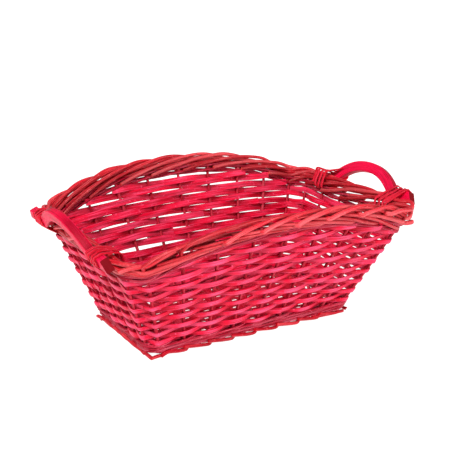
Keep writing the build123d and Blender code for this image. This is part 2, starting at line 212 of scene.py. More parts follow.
class Weave:
    """Collects rods and strips, and becomes one Blender object."""

    def __init__(self):
        self.points, self.faces, self.fibre = [], [], []
        self.tone, self.cut, self.wear_and_shade = [], [], []
        self.count = 0

    def loft(self, rings, along, around, tone, wear_and_shade):
        """Closed rings joined to a tube, with an end face at each end."""
        steps, sides = rings.shape[:2]
        index = self.count + np.arange(steps * sides).reshape(steps, sides)
        right = np.roll(index, -1, axis=1)
        quads = np.stack([index[:-1], right[:-1], right[1:], index[1:]], axis=-1)
        fibre = np.stack([np.broadcast_to(along[:, None], (steps, sides)),
                          np.broadcast_to(around[None, :], (steps, sides))], axis=-1)
        self.points.append(rings.reshape(-1, 3))
        self.fibre.append(fibre.reshape(-1, 2))
        self.tone.append(np.full(steps * sides, tone))
        self.cut.append(np.zeros(steps * sides))
        self.wear_and_shade.append(np.broadcast_to(wear_and_shade, (steps, sides)).ravel())
        self.faces.extend(quads.reshape(-1, 4).tolist())
        self.count += steps * sides
        for row, flip in ((0, True), (steps - 1, False)):
            self.cap(rings[row], along[row], tone, flip)

    def cap(self, ring, along, tone, flip):
        """Flat end face with points of its own, so that its edge stays crisp."""
        sides = len(ring)
        middle = ring.mean(axis=0)
        inner = middle + (ring - middle) * END_RING
        points = np.concatenate([ring, inner, [middle]])
        first = self.count
        radius = np.linalg.norm(points - middle, axis=1)
        self.points.append(points)
        self.fibre.append(np.stack([np.full(len(points), along), radius], axis=1))
        self.tone.append(np.full(len(points), tone))
        self.cut.append(np.ones(len(points)))
        self.wear_and_shade.append(np.full(len(points), PLAIN_WEAR_AND_SHADE))
        for i in range(sides):
            j = (i + 1) % sides
            outer = [first + i, first + j, first + sides + j, first + sides + i]
            tip = [first + sides + i, first + sides + j, first + 2 * sides]
            self.faces.append(outer if not flip else outer[::-1])
            self.faces.append(tip if not flip else tip[::-1])
        self.count += len(points)

    def rod(self, path, radius, sides=10, slant=0.35, wear_and_shade=PLAIN_WEAR_AND_SHADE):
        """Willow rod along a path, not quite round; its cut ends lean by about slant radii."""
        path = np.asarray(path, float)
        radius = np.broadcast_to(radius, len(path)).astype(float)
        tangent = unit(np.gradient(path, axis=0))
        side = np.cross(tangent[0], ROD_SIDE)
        sides_at = []
        for direction in tangent:
            side = side - direction * np.dot(side, direction)
            side = side / np.linalg.norm(side)
            sides_at.append(side)
        side = np.array(sides_at)
        other = np.cross(tangent, side)
        length = lengths_along(path)
        angle = np.arange(sides) * 2 * pi / sides
        turn = 2 * angle[None, :] + rng.uniform(0, 6) + length[:, None] * ROD_TWIST
        oval = 1 + ROD_LUMPS * np.cos(turn)
        knots = 1 + wander(len(path), 4, ROD_LUMPS)[:, None]
        r = radius[:, None] * oval * knots
        rings = (path[:, None] + side[:, None] * (r * np.cos(angle))[..., None]
                 + other[:, None] * (r * np.sin(angle))[..., None])
        for row in (0, -1):
            depth = slant * rng.uniform(*CUT_LEANS) * radius[row]
            lean = depth * np.cos(angle + rng.uniform(0, 2 * pi))
            rings[row] += tangent[row] * lean[:, None]
        tone = rng.uniform()
        wear_and_shade = np.broadcast_to(wear_and_shade, len(path))[:, None]
        along = length + rng.uniform(0, GRAIN_SHIFT)
        self.loft(rings, along, angle * radius.mean(), tone, wear_and_shade)

    def strip(self, path, up, out, width, thick, proud=0.0, crown=STRIP_FACE_CROWN):
        """Flat split strip: flat inside, crowned outside, with softened edges.  It stands proud
        on its outer face where proud is 1, and on its inner face where proud is -1; proud sets
        only its
        colour: paler on the face that stands proud, as wear and painted highlight, and deeper on
        the face that lies back, as painted shade."""
        half = np.broadcast_to(width, len(path))[:, None] / 2
        thick = np.broadcast_to(thick, len(path))[:, None]
        proud = np.broadcast_to(proud, len(path))[:, None]
        height = STRIP_FACE * thick + STRIP_BULGE * thick * crown
        rings = (path[:, None] + up[:, None] * (STRIP_ACROSS * half)[..., None]
                 + out[:, None] * height[..., None])
        outer = STRIP_FACE > 0
        # Painted highlight and shade: the face that stands proud is paler, the face that lies back
        # and the edges are deeper.
        wear_and_shade = np.where(outer, PLAIN_WEAR_AND_SHADE, INNER_WEAR_AND_SHADE)
        wear_and_shade = wear_and_shade + proud * np.where(outer, OUTER_WEAR_AND_SHADE_CHANGE, INNER_WEAR_AND_SHADE_CHANGE)
        wear_and_shade = wear_and_shade - EDGE_SHADE * (np.abs(STRIP_ACROSS) == 1)
        outline = np.stack([STRIP_ACROSS * half.mean(), height.mean(axis=0)], axis=1)
        around = lengths_along(outline)
        along = lengths_along(path) + rng.uniform(0, GRAIN_SHIFT)
        self.loft(rings[:, ::-1], along, around[::-1], rng.uniform(), wear_and_shade[:, ::-1])

    def build(self, name, material, crease=50):
        """Makes the object, which stands for the CAD node of the same name without _look; edges
        sharper than crease degrees stay sharp."""
        mesh = bpy.data.meshes.new(name)
        points = np.concatenate(self.points) * MM
        mesh.from_pydata(points.tolist(), [], self.faces)
        corner = np.zeros(len(mesh.loops), int)
        mesh.loops.foreach_get("vertex_index", corner)
        fibre = (np.concatenate(self.fibre) * MM)[corner]
        layer = mesh.uv_layers.new(name="fibre")
        layer.data.foreach_set("uv", fibre.ravel().astype(np.float32))
        for label, values in (("tone", self.tone), ("cut", self.cut), ("wear_and_shade", self.wear_and_shade)):
            layer = mesh.attributes.new(label, "FLOAT", "POINT")
            layer.data.foreach_set("value", np.concatenate(values).astype(np.float32))
        mesh.polygons.foreach_set("use_smooth", np.ones(len(mesh.polygons), bool))
        mesh.set_sharp_from_angle(angle=radians(crease))
        mesh.materials.append(material)
        piece = bpy.data.objects.new(name, mesh)
        bpy.context.scene.collection.objects.link(piece)
        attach(piece, "root")
        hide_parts(name.removesuffix("_look"))


# ---- materials ----
def linear(red, green, blue):
    """Scene-linear colour from screen values between 0 and 255."""
    return tuple(((c / 255 + 0.055) / 1.055) ** 2.4 if c > 10 else c / 255 / 12.92
                 for c in (red, green, blue)) + (1.0,)


# How often each noise repeats: per metre along and across the fibre, or per metre of space.
STREAK_SCALE = (22, 1500, 1)
FINE_SCALE = (90, 5200, 1)
PATCH_SCALE = (16, 170, 1)
MOTTLE_SCALE = 260.0
SPECK_SCALE = 420.0

# Where each effect begins and where it is full, in values of its noise, wear and shade, or tone.
PATCH_BODY = (0.24, 0.55)
# painted shade deep in the weave, in values of wear and shade
WEAVE_SHADE_LIMITS = (0.8, 0.15)
PALE_TONE = (0.6, 1.7)
DEEP_TONE = (0.35, -0.5)
# wear and painted highlight where a piece stands proud
WEAR_AND_HIGHLIGHT_LIMITS = (0.75, 1.1)
WEAR_AND_HIGHLIGHT_STREAKS = (0.35, 0.65)
LIGHT_STREAKS = (0.52, 0.66)
DARK_STREAKS = (0.47, 0.34)
LIGHT_MOTTLE = (0.62, 0.78)
SPECK_SPOTS = (0.70, 0.78)

LIGHT_SHARE = 0.6         # how far a light streak goes towards the pale colour
DARK_SHARE = 0.85         # how far a dark streak goes towards the deep colour
SPECK_COLOUR = linear(70, 40, 30)
STREAK_RELIEF = 1.6       # depth of the streaks, in depths of the fine grain
BUMP_STRENGTH = 0.55
BUMP_DISTANCE = 0.35
GLOSSY_STREAKS = -0.10    # change of roughness where the streaks' noise is 0
ROUGH_STREAKS = 0.16      # and where it is 1


def dyed_wood(name, deep, body, pale, grain=1.0, rough=0.42, specks=0.0, shine=0.1, cut=None):
    """Dyed wood with grain along the fibre: body on most of it, deep as painted shade where it
    lies deep in the weave, pale where it stands proud as wear and painted highlight, and pale
    grain streaks that are also painted highlight, with patchy dye and bark specks; cut is the
    colour of the cut ends."""
    material = bpy.data.materials.new(name)
    material.use_nodes = True
    nodes, links = material.node_tree.nodes, material.node_tree.links
    nodes.clear()

    def feed(socket, value):
        if isinstance(value, bpy.types.NodeSocket):
            links.new(value, socket)
        else:
            socket.default_value = value

    def mix(factor, first, second):
        node = nodes.new("ShaderNodeMix")
        node.data_type = "RGBA"
        feed(node.inputs[0], factor)
        feed(node.inputs[6], first)
        feed(node.inputs[7], second)
        return node.outputs[2]

    def multiply(first, second):
        node = nodes.new("ShaderNodeMath")
        node.operation = "MULTIPLY"
        feed(node.inputs[0], first)
        feed(node.inputs[1], second)
        return node.outputs[0]

    def ramp(value, limits):
        node = nodes.new("ShaderNodeMapRange")
        node.interpolation_type = "SMOOTHSTEP"
        feed(node.inputs[0], value)
        feed(node.inputs[1], limits[0])
        feed(node.inputs[2], limits[1])
        return node.outputs[0]

    def noise(vector, scale, detail, roughness=0.55):
        node = nodes.new("ShaderNodeTexNoise")
        feed(node.inputs["Vector"], vector)
        feed(node.inputs["Scale"], scale)
        feed(node.inputs["Detail"], detail)
        feed(node.inputs["Roughness"], roughness)
        return node.outputs["Fac"]

    fibre = nodes.new("ShaderNodeUVMap")
    fibre.uv_map = "fibre"
    place = nodes.new("ShaderNodeTexCoord").outputs["Object"]

    def along_fibre(scale):
        node = nodes.new("ShaderNodeMapping")
        feed(node.inputs["Scale"], scale)
        feed(node.inputs[0], fibre.outputs[0])
        return node.outputs[0]

    def attribute(label):
        node = nodes.new("ShaderNodeAttribute")
        node.attribute_name = label
        return node.outputs["Fac"]

    tone, end, wear_and_shade = attribute("tone"), attribute("cut"), attribute("wear_and_shade")
    streaks = noise(along_fibre(STREAK_SCALE), 1.0, 4.0, 0.6)
    fine = noise(along_fibre(FINE_SCALE), 1.0, 2.0)
    patches = noise(along_fibre(PATCH_SCALE), 1.0, 3.0)
    mottle = noise(place, MOTTLE_SCALE, 2.0)

    colour = mix(ramp(patches, PATCH_BODY), deep, body)
    # Painted shade: the deep colour where a piece lies deep in the weave and below a border rod's
    # knuckle.
    colour = mix(ramp(wear_and_shade, WEAVE_SHADE_LIMITS), colour, deep)
    colour = mix(ramp(tone, PALE_TONE), colour, pale)
    colour = mix(ramp(tone, DEEP_TONE), colour, deep)
    # Pale streaks where a piece stands proud: wear and painted highlight.
    wear_and_highlight = multiply(ramp(wear_and_shade, WEAR_AND_HIGHLIGHT_LIMITS), ramp(streaks, WEAR_AND_HIGHLIGHT_STREAKS))
    colour = mix(wear_and_highlight, colour, pale)
    # Paler streaks along the grain, which also stand in for the wood's sheen: grain and painted
    # highlight.
    light = mix(LIGHT_SHARE, colour, pale)
    colour = mix(ramp(streaks, LIGHT_STREAKS), colour, light)
    dark = mix(DARK_SHARE, colour, deep)
    colour = mix(ramp(streaks, DARK_STREAKS), colour, dark)
    colour = mix(ramp(mottle, LIGHT_MOTTLE), colour, light)
    if specks:
        spots = noise(place, SPECK_SCALE, 1.0)
        colour = mix(multiply(ramp(spots, SPECK_SPOTS), specks), colour, SPECK_COLOUR)
    colour = mix(end, colour, cut or deep)

    shader = nodes.new("ShaderNodeBsdfPrincipled")
    feed(shader.inputs["Base Color"], colour)
    gloss = nodes.new("ShaderNodeMapRange")
    feed(gloss.inputs[0], streaks)
    feed(gloss.inputs[3], rough + GLOSSY_STREAKS)
    feed(gloss.inputs[4], rough + ROUGH_STREAKS)
    feed(shader.inputs["Roughness"], gloss.outputs[0])
    feed(shader.inputs["Specular IOR Level"], shine)

    height = nodes.new("ShaderNodeMath")
    height.operation = "MULTIPLY_ADD"
    feed(height.inputs[0], streaks)
    feed(height.inputs[1], STREAK_RELIEF)
    feed(height.inputs[2], fine)
    bump = nodes.new("ShaderNodeBump")
    feed(bump.inputs["Strength"], BUMP_STRENGTH * grain)
    feed(bump.inputs["Distance"], BUMP_DISTANCE * MM)
    feed(bump.inputs["Height"], height.outputs[0])
    feed(shader.inputs["Normal"], bump.outputs[0])

    output = nodes.new("ShaderNodeOutputMaterial")
    feed(output.inputs[0], shader.outputs[0])
    return material


strip_wood = dyed_wood("strip_wood", linear(168, 0, 26), linear(238, 0, 54), linear(255, 100, 146))
upright_wood = dyed_wood("upright_wood", linear(125, 0, 18), linear(212, 22, 52),
                         linear(240, 95, 115))
wale_wood = dyed_wood("wale_wood", linear(125, 0, 22), linear(198, 6, 48), linear(248, 120, 146),
                      specks=0.6)
border_wood = dyed_wood("border_wood", linear(150, 0, 16), linear(232, 16, 44),
                        linear(255, 118, 124), rough=0.36, specks=0.9, shine=0.3,
                        cut=linear(235, 80, 75))
foot_wood = dyed_wood("foot_wood", linear(135, 0, 16), linear(208, 2, 38), linear(248, 95, 105),
                      specks=0.5, cut=linear(190, 12, 30))
base_wood = dyed_wood("base_wood", linear(150, 0, 22), linear(205, 2, 38), linear(240, 80, 105))
handle_paint = dyed_wood("handle_paint", linear(160, 0, 30), linear(240, 0, 60),
                         linear(250, 40, 95), grain=0.5, rough=0.4, cut=linear(115, 0, 12))
splint_wood = dyed_wood("splint_wood", linear(190, 0, 26), linear(238, 8, 50),
                        linear(255, 95, 122))

# ---- uprights ----
POST_RADIUS = 2.0
POST_TAPER = (1.08, 0.92)
POST_FOOT = 6.0
POST_DROP = 4.0  # from the border's middle down to an upright's end
POST_WALK_ALONG = (10, 0.5)
POST_WALK_OUT = (10, 0.2)


def make_uprights(side):
    weave = Weave()
    for k in posts_of(side):
        z = np.linspace(POST_FOOT, rim_height(k) - POST_DROP, 40)
        here, along, _, out = wall_frame(np.full_like(z, k), z)
        path = here + along * wander(len(z), *POST_WALK_ALONG)[:, None]
        path = path + out * wander(len(z), *POST_WALK_OUT)[:, None]
        weave.rod(path, POST_RADIUS * np.linspace(*POST_TAPER, len(z)))
    weave.build(f"uprights_{side}_look", upright_wood)


# ---- siding ----
ROW_COUNT = 14
CROWN_ROWS = 3
SIDING_DROP = 16.0  # from the border's middle down to the middle of the highest strip
ROW_START = 20.0
ROW_PITCH_ENDS = 7.2
ROW_PITCH_MIDDLE = 7.8
ROW_SWAY = 0.6      # how far a row sways up and down from upright to upright
ROW_SPLICES = np.array([0, 8, 15, 23, 30])  # about where the strips of a row meet
SPLICE_SPREAD = 1.5
LAP_BEFORE = 0.45   # how far a strip reaches under the one before it, in gaps
LAP_AFTER = 0.5     # how far it reaches over the next one
LAP_RUN = 1.1       # gaps over which it rises to its lap
LAP_LIFT = 0.9
STRIP_WIDTHS = (7.2, 8.8)
WIDTH_SHARES = (
    # narrower on the front, wider on the back: places and shares
    (0, 8, 10, 14, 16, 22, 24, 28, 30),
    (0.86, 0.86, 0.9, 0.96, 1.05, 1.05, 0.96, 0.9, 0.86),
)
STRIP_THICKNESS = 1.7
THICKNESS_SHARES = (0.85, 1.2)
STRIP_CREASE = 18
WEAVE_REACH = 2.9   # how far a strip's middle passes outside or inside an upright's
WAVE_FLATNESS = 0.6
SAMPLES_PER_GAP = 18
ROW_WALK_UP = (24, 0.45)
ROW_WALK_OUT = (30, 0.15)
ROW_WALK_TWIST = (20, 0.12)
ROW_WALK_WIDTH = (18, 0.05)
STRIP_SHIFT = 0.25       # spread of the heights at which a row's strips lie
ROW_SMOOTHING = 8.0      # samples over which a row's height is evened out
STRIP_SMOOTHING = 0.4    # and over which its strips are
CROWN_END = 0.2          # how far a crown strip reaches past the place where it fits, in gaps

# Two rows on the back wall have been pushed apart at one place.
LOOSE_ROW = 7.0
LOOSE_PLACE = 20.6
LOOSE_SIZE = 4.5
LOOSE_ROWS = 2.2    # rows over which the push fades
LOOSE_SPREAD = 0.6  # square of the gaps over which it fades

DRIFT_GAPS = 3      # gaps from one chosen height of a row to the next
DRIFT_SIZE = 0.4
ROW_DRIFTS = rng.normal(0, DRIFT_SIZE, (ROW_COUNT + CROWN_ROWS, POSTS // DRIFT_GAPS))


def loose_spot(row, u):
    """How far the loose place pushes a row up or down."""
    above = row + 0.5 - LOOSE_ROW
    fade = np.exp(-abs(above) / LOOSE_ROWS - (np.asarray(u) - LOOSE_PLACE) ** 2 / LOOSE_SPREAD)
    return LOOSE_SIZE * np.sign(above) * fade


def row_height(row, u):
    """Height of a row's middle, which drifts a little up and down round the basket."""
    pitch = ROW_PITCH_ENDS + (ROW_PITCH_MIDDLE - ROW_PITCH_ENDS) * arch(u)
    knots = np.append(ROW_DRIFTS[row], ROW_DRIFTS[row, 0])
    drift = np.interp(np.asarray(u) % POSTS, np.arange(len(knots)) * DRIFT_GAPS, knots)
    return ROW_START + (row + 0.5) * pitch + drift + loose_spot(row, u)


def weave_wave(u, row):
    """1 where a row passes outside an upright, -1 where it passes inside: rounded between the
    uprights of a wall, and straight with a crease at each corner upright."""
    k = np.floor(u).astype(int)
    part = u - k
    start = np.where((k + row) % 2 == 0, 1.0, -1.0)
    rounded = np.tanh(WAVE_FLATNESS * np.cos(pi * part)) / np.tanh(WAVE_FLATNESS)
    straight = 1 - 2 * part
    at_start = np.isin(k % POSTS, CORNER_POSTS)
    at_end = np.isin((k + 1) % POSTS, CORNER_POSTS)
    beside_corner = np.where(at_start, 1 - part, np.where(at_end, part, 0))
    share = np.where(at_start & at_end, 1, beside_corner)
    return start * (rounded * (1 - share) + straight * share)


def add_siding(weave, row, start, stop):
    """One strip of a row, which starts under its neighbour and ends over the next one."""
    count = int((stop - start) * SAMPLES_PER_GAP) + 1
    u = np.linspace(start, stop, count)
    z = smooth(row_height(row, u), ROW_SMOOTHING) + ROW_SWAY * np.sin(pi * (u + row))
    z = z + wander(count, *ROW_WALK_UP) + rng.normal(0, STRIP_SHIFT)
    here, _, up, out = wall_frame(u, z)
    wave = weave_wave(u, row)
    under = np.clip((start - u) / LAP_RUN + 1, 0, 1)
    over = np.clip((u - stop) / LAP_RUN + 1, 0, 1)
    offset = WEAVE_REACH * wave + LAP_LIFT * (over - under) + wander(count, *ROW_WALK_OUT)
    path = smooth(here + out * offset[:, None], STRIP_SMOOTHING)
    up, out = smooth(up, STRIP_SMOOTHING), smooth(out, STRIP_SMOOTHING)
    along = unit(np.gradient(path, axis=0))
    out = unit(out - along * np.sum(out * along, axis=1, keepdims=True))
    up = unit(np.cross(out, along))
    twist = wander(count, *ROW_WALK_TWIST)[:, None]
    width = rng.uniform(*STRIP_WIDTHS) * (1 + wander(count, *ROW_WALK_WIDTH))
    width = width * np.interp(u % POSTS, *WIDTH_SHARES)
    thick = STRIP_THICKNESS * rng.uniform(*THICKNESS_SHARES)
    weave.strip(path, unit(up + out * twist), unit(out - up * twist), width, thick, wave)


def make_row(row):
    """A full round of strips, each of which laps the next by about one gap."""
    weave = Weave()
    start = rng.uniform(0, 6)
    shifts = np.append(rng.uniform(-SPLICE_SPREAD, SPLICE_SPREAD, len(ROW_SPLICES) - 1), 0)
    stops = start + ROW_SPLICES + shifts
    stops[-1] = stops[0] + POSTS
    for first, last in zip(stops[:-1], stops[1:]):
        add_siding(weave, row, first - LAP_BEFORE, last + LAP_AFTER)
    weave.build(f"weaver_row_{row + 1:02d}_look", strip_wood, STRIP_CREASE)


def make_crown_rows(side):
    """Shorter strips that fill the arch of a long wall."""
    weave = Weave()
    places = np.linspace(posts_of(side)[0], posts_of(side)[-1], 400)
    for row in range(ROW_COUNT, ROW_COUNT + CROWN_ROWS):
        room = rim_height(places) - SIDING_DROP - row_height(row, places)
        fits = places[room > 0]
        if len(fits):
            add_siding(weave, row, fits[0] - CROWN_END, fits[-1] + CROWN_END)
    weave.build(f"crown_rows_{side}_look", strip_wood, STRIP_CREASE)


# ---- wales: rounds of three rods, each outside two uprights and inside the third ----
CORNER_LIFT = 9.0
CORNER_LIFT_REACH = 4.5
WALE_PERIOD = 3
WALE_REACH = 3.6
WALE_MIDDLE = 0.45
WALE_FLATNESS = 2.0
WALE_LAP = 0.3
WALE_WALK_UP = (20, 0.35)
WALE_WALK_OUT = (20, 0.2)
WALE_WALK_RADIUS = (30, 0.05)
WALE_RADIUS_SHARES = (0.88, 1.12)
WALE_SMOOTHING = 2.5
CLIMB_SMOOTHING = 2.0
WALE_CLIMB = (
    # gaps since a rod came out, and how far it stands above its round's middle, in climbs
    (0, 1.5, 2.0, 2.5, 3.0),
    (-0.5, 1, 0, -1, -0.5),
)
LOWER_WALE_HEIGHTS = (10.2, 14.4, 18.8)
LOWER_WALE_RADIUS = 1.75
LOWER_WALE_CLIMB = 2.1
UPPER_WALE_ROUNDS = ((12.5, 0.0), (7.0, 0.6))  # drop below the border's middle, share of its lift
UPPER_WALE_RADIUS = 1.65
UPPER_WALE_CLIMB = 1.9


def corner_lift(u):
    """How much higher the border's upper rods lie round the front right corner."""
    apart = np.abs(np.asarray(u) - SIDE_FIRST["right"])
    return CORNER_LIFT * np.clip(1 - apart / CORNER_LIFT_REACH, 0, 1)


def wale_wave(s):
    """Offset of a wale rod: outside at s 0 and 1, inside at s 2."""
    wave = np.cos(2 * pi * (s - 0.5) / WALE_PERIOD) + WALE_MIDDLE
    return np.tanh(WALE_FLATNESS * wave) / np.tanh(WALE_FLATNESS * (1 + WALE_MIDDLE))


def wale_places(side):
    """Places along a wall for the samples of its wale rods, which lap the next wall's."""
    first = SIDE_FIRST[side] - 0.5
    start, stop = first - WALE_LAP, first + SIDE_POSTS[side] + WALE_LAP
    return np.linspace(start, stop, int((stop - start) * SAMPLES_PER_GAP) + 1)


def add_wale_round(weave, u, heights, radius, climb):
    """The three rods of a round, each of which comes out one upright after the last."""
    count = len(u)
    for phase in range(WALE_PERIOD):
        s = (u - phase) % WALE_PERIOD
        rise = smooth(np.interp(s, *WALE_CLIMB), CLIMB_SMOOTHING)
        z = heights + climb * rise + wander(count, *WALE_WALK_UP)
        here, _, _, out = wall_frame(u, z)
        offset = WALE_REACH * wale_wave(s) + wander(count, *WALE_WALK_OUT)
        path = here + out * offset[:, None]
        share = rng.uniform(*WALE_RADIUS_SHARES)
        radii = radius * share * (1 + wander(count, *WALE_WALK_RADIUS))
        weave.rod(smooth(path, WALE_SMOOTHING), radii, sides=8)


def make_lower_wale(side):
    weave = Weave()
    u = wale_places(side)
    for height in LOWER_WALE_HEIGHTS:
        add_wale_round(weave, u, np.full_like(u, height), LOWER_WALE_RADIUS, LOWER_WALE_CLIMB)
    weave.build(f"lower_wale_{side}_look", wale_wood)


def make_upper_wale(side):
    weave = Weave()
    u = wale_places(side)
    for drop, share in UPPER_WALE_ROUNDS:
        heights = rim_height(u) - drop + share * corner_lift(u)
        add_wale_round(weave, u, heights, UPPER_WALE_RADIUS, UPPER_WALE_CLIMB)
    weave.build(f"upper_wale_{side}_look", wale_wood)


# ---- border: at most uprights a top rod rises outside, bends at a knuckle, climbs over the rim
# and sinks along the inside, an outer rod comes out below it and runs down along the outside,
# and a core rod lies between them ----
BORDER_RADIUS = 2.6
BORDER_RADIUS_SHARES = (0.88, 1.06)
BORDER_SAMPLES = 84
PLACE_SPREAD = 0.02     # spread of a border rod's place, in gaps
ROUTE_SPREAD = 0.25     # spread of its route's points
KNUCKLE_SPREAD = 0.8    # spread of the knuckles' heights
# Routes: place past the rod's upright, out of the wall, up the wall from the border's middle.
TOP_ROUTE = (
    (-0.05, -0.6, -14.0),
    (-0.03, 0.4, -6.0),
    (-0.01, 4.6, -3.0),
    (0.04, 8.2, -0.8),
    (0.16, 8.2, 2.0),
    (0.42, 6.4, 5.4),
    (0.75, 4.2, 8.2),
    (1.10, 1.6, 9.3),
    (1.50, -1.2, 8.0),
    (2.00, -3.6, 4.6),
    (2.50, -5.2, 0.6),
    (3.00, -6.0, -3.6),
    (3.50, -6.4, -8.0),
    (3.90, -6.4, -12.0),
)
# Next to the front left corner a top rod stands up inside the outer ones and bends over sharply.
HOOK_ROUTE = (
    (-0.08, -0.5, -14.0),
    (-0.07, 0.8, -3.0),
    (-0.06, 2.8, 7.0),
    (-0.02, 3.8, 13.0),
    (0.09, 4.2, 17.0),
    (0.26, 4.0, 19.0),
    (0.55, 3.4, 19.6),
    (0.90, 2.4, 18.6),
    (1.40, 0.4, 15.6),
    (2.00, -2.0, 10.4),
    (2.60, -4.6, 3.6),
    (3.20, -6.0, -3.0),
    (3.60, -6.2, -7.0),
)
OUTER_ROUTE = (
    (0.30, 1.0, 0.4),
    (0.60, 4.0, 0.4),
    (0.95, 5.4, -0.8),
    (1.40, 5.8, -2.8),
    (1.90, 5.8, -5.2),
    (2.40, 5.4, -7.6),
    (2.80, 4.2, -9.4),
    (3.05, 0.6, -10.6),
)
CORE_ROUTE = (
    (-0.30, 3.4, 4.4),
    (0.30, 1.6, 4.0),
    (0.90, 0.2, 2.4),
    (1.50, -0.8, 0.2),
    (2.10, -1.2, -2.6),
    (2.70, -0.8, -5.6),
)
# How many points of each route follow the knuckle's height.
TOP_REACH = 8
HOOK_REACH = 1.5
OUTER_REACH = 0
CORE_REACH = 1.5
# Radius at the start and at the end of each rod, in BORDER_RADIUS.
TOP_TAPER = (1.0, 0.85)
HOOK_TAPER = (0.85, 0.75)
OUTER_TAPER = (0.85, 0.9)
THIN_TAPER = (0.7, 0.65)
LONG_END_TAPER = (0.95, 1.15)
CORE_TAPER = (0.8, 0.75)
TOP_SHADE_AND_WEAR = (
    # shares of a top rod's length, and its wear and shade there: painted shade below the knuckle,
    # wear and painted highlight on it
    (0, 0.06, 0.09, 0.2, 0.4, 0.7, 1),
    (0.05, 0.1, 1.0, 0.9, 0.6, 0.4, 0.25),
)
TOP_WEAR_AND_SHADE = np.interp(np.linspace(0, 1, BORDER_SAMPLES), *TOP_SHADE_AND_WEAR)
HOOKS = (0, 1)
THIN_OUTERS = (0, 1, 2)
CORES = range(4, POSTS - 2)
LONG_ENDS = (SIDE_FIRST["right"] - 3, SIDE_FIRST["right"] - 2)
LONG_END_RUN = 7.0      # how far past the corner a long end runs for each gap of its route
LONG_END_OUT = 5.0      # least distance out of the wall
LONG_END_SLOPE = 0.15   # share of the route's heights that a long end keeps
LONG_END_UP = 3.0
KNUCKLE_UP = 1.5
KNUCKLE_LAG = 0.35      # how much lower a knuckle lies where the rim climbs, in climbs
LIFTED_DEPTH = 8.0      # how far below the border's middle the corner's lift dies out
BEVEL_REACH = 1.3       # gaps from a bevel's middle at which rods start to lie closer
BEVEL_SHARE = 0.5       # how much closer they lie on the bevel
FULLNESS = (
    # places, and how deep the border is: wound flatter on the left half of the front
    (0, 1.5, 5, POSTS - 2, POSTS),
    (0.8, 0.75, 1, 1, 0.8),
)


def border_path(route, reach, k):
    """Middle line of a rod that starts at upright k; reach is how many points of its route
    follow the knuckle's height, the first one fully and the later ones less and less."""
    route = np.array(route)
    places = route[:, 0] + k + rng.normal(0, PLACE_SPREAD)
    here, _, up, out = wall_frame(places, rim_height(places))
    offsets = route[:, 1:] + rng.normal(0, ROUTE_SPREAD, (len(route), 2))
    offsets[:, 1] *= np.interp(places % POSTS, *FULLNESS)
    climb = rim_height(k + 0.5) - rim_height(k - 0.5)
    lift = KNUCKLE_UP - KNUCKLE_LAG * climb + rng.normal(0, KNUCKLE_SPREAD)
    if reach:
        offsets[:, 1] += lift * np.clip(1 - np.arange(len(route)) / reach, 0, 1) ** 0.5
    lifted = np.clip((offsets[:, 1] + LIFTED_DEPTH) / LIFTED_DEPTH, 0, 1)
    offsets[:, 1] += corner_lift(places) * lifted
    offsets[:, 0] *= 1 - BEVEL_SHARE * np.clip(BEVEL_REACH - gaps_to_bevel(places), 0, 1)
    return spline(here + out * offsets[:, :1] + up * offsets[:, 1:], BORDER_SAMPLES)


def long_end_path(k):
    """An outer rod that keeps straight on past the front right corner, where it was cut long."""
    route = np.array(OUTER_ROUTE)
    last = SIDE_FIRST["right"] - 1
    places = route[:, 0] + k
    inside = np.minimum(places, last)
    here, _, up, out = wall_frame(inside - FRAME_REACH, rim_height(inside))
    along = unit(RIM_POINTS[last] - RIM_POINTS[last - 1])
    past = np.outer(LONG_END_RUN * np.maximum(places - last, 0), np.append(along, 0))
    outward = out * np.maximum(route[:, 1:2], LONG_END_OUT)
    upward = up * (route[:, 2:] * LONG_END_SLOPE + LONG_END_UP)
    return spline(here + past + outward + upward, BORDER_SAMPLES)


def make_border(side):
    weave = Weave()

    def add(path, taper, wear_and_shade=PLAIN_WEAR_AND_SHADE):
        share = rng.uniform(*BORDER_RADIUS_SHARES)
        radius = BORDER_RADIUS * share * np.linspace(*taper, len(path))
        weave.rod(path, radius, sides=12, wear_and_shade=wear_and_shade)

    for k in posts_of(side):
        if k in HOOKS:
            add(border_path(HOOK_ROUTE, HOOK_REACH, k), HOOK_TAPER)
        else:
            add(border_path(TOP_ROUTE, TOP_REACH, k), TOP_TAPER, TOP_WEAR_AND_SHADE)
        if k in LONG_ENDS:
            add(long_end_path(k), LONG_END_TAPER)
        else:
            taper = THIN_TAPER if k in THIN_OUTERS else OUTER_TAPER
            add(border_path(OUTER_ROUTE, OUTER_REACH, k), taper)
        if k in CORES:
            add(border_path(CORE_ROUTE, CORE_REACH, k), CORE_TAPER)
    weave.build(f"border_{side}_look", border_wood)


# ---- foot: each rod comes down the wall, bends at the ground and rises outside its left
# neighbours to a cut end; next to a corner it runs straight past it ----
FOOT_RADIUS = 2.35
FOOT_RADIUS_SHARES = (0.93, 1.0)
FOOT_SLANT = 0.6
FOOT_HEIGHT_SPREAD = 0.2
FOOT_OUT_SPREAD = 0.3
GROUND = FOOT_RADIUS + 0.15  # lowest a foot rod's middle line lies
FOOT_ROUTE = (
    # place past its upright, out of the wall, height
    (0.16, -0.5, 15.0),
    (0.12, 0.8, 9.0),
    (0.08, 2.8, 4.4),
    (-0.02, 4.4, 2.5),
    (-0.35, 5.2, 3.9),
    (-0.75, 6.2, 6.8),
    (-1.10, 6.8, 9.4),
)
CORNER_HEIGHT = 3.2     # highest a rod lies where it runs past a corner
CORNER_RUN = 11.0       # how far it runs past
FRONT_LEFT_RUN = 16.0   # the same at the front left corner
HEEL_OUT = 3.6          # how far out of the wall the rod at its right end starts
HEEL_RADIUS_SHARE = 0.95
HEEL_SLANT = 0.8
TAIL_BACK = 1.3         # gaps from that corner to the rod's other end
TAIL_HEIGHT = 5.5
TAIL_OUT = 5.6


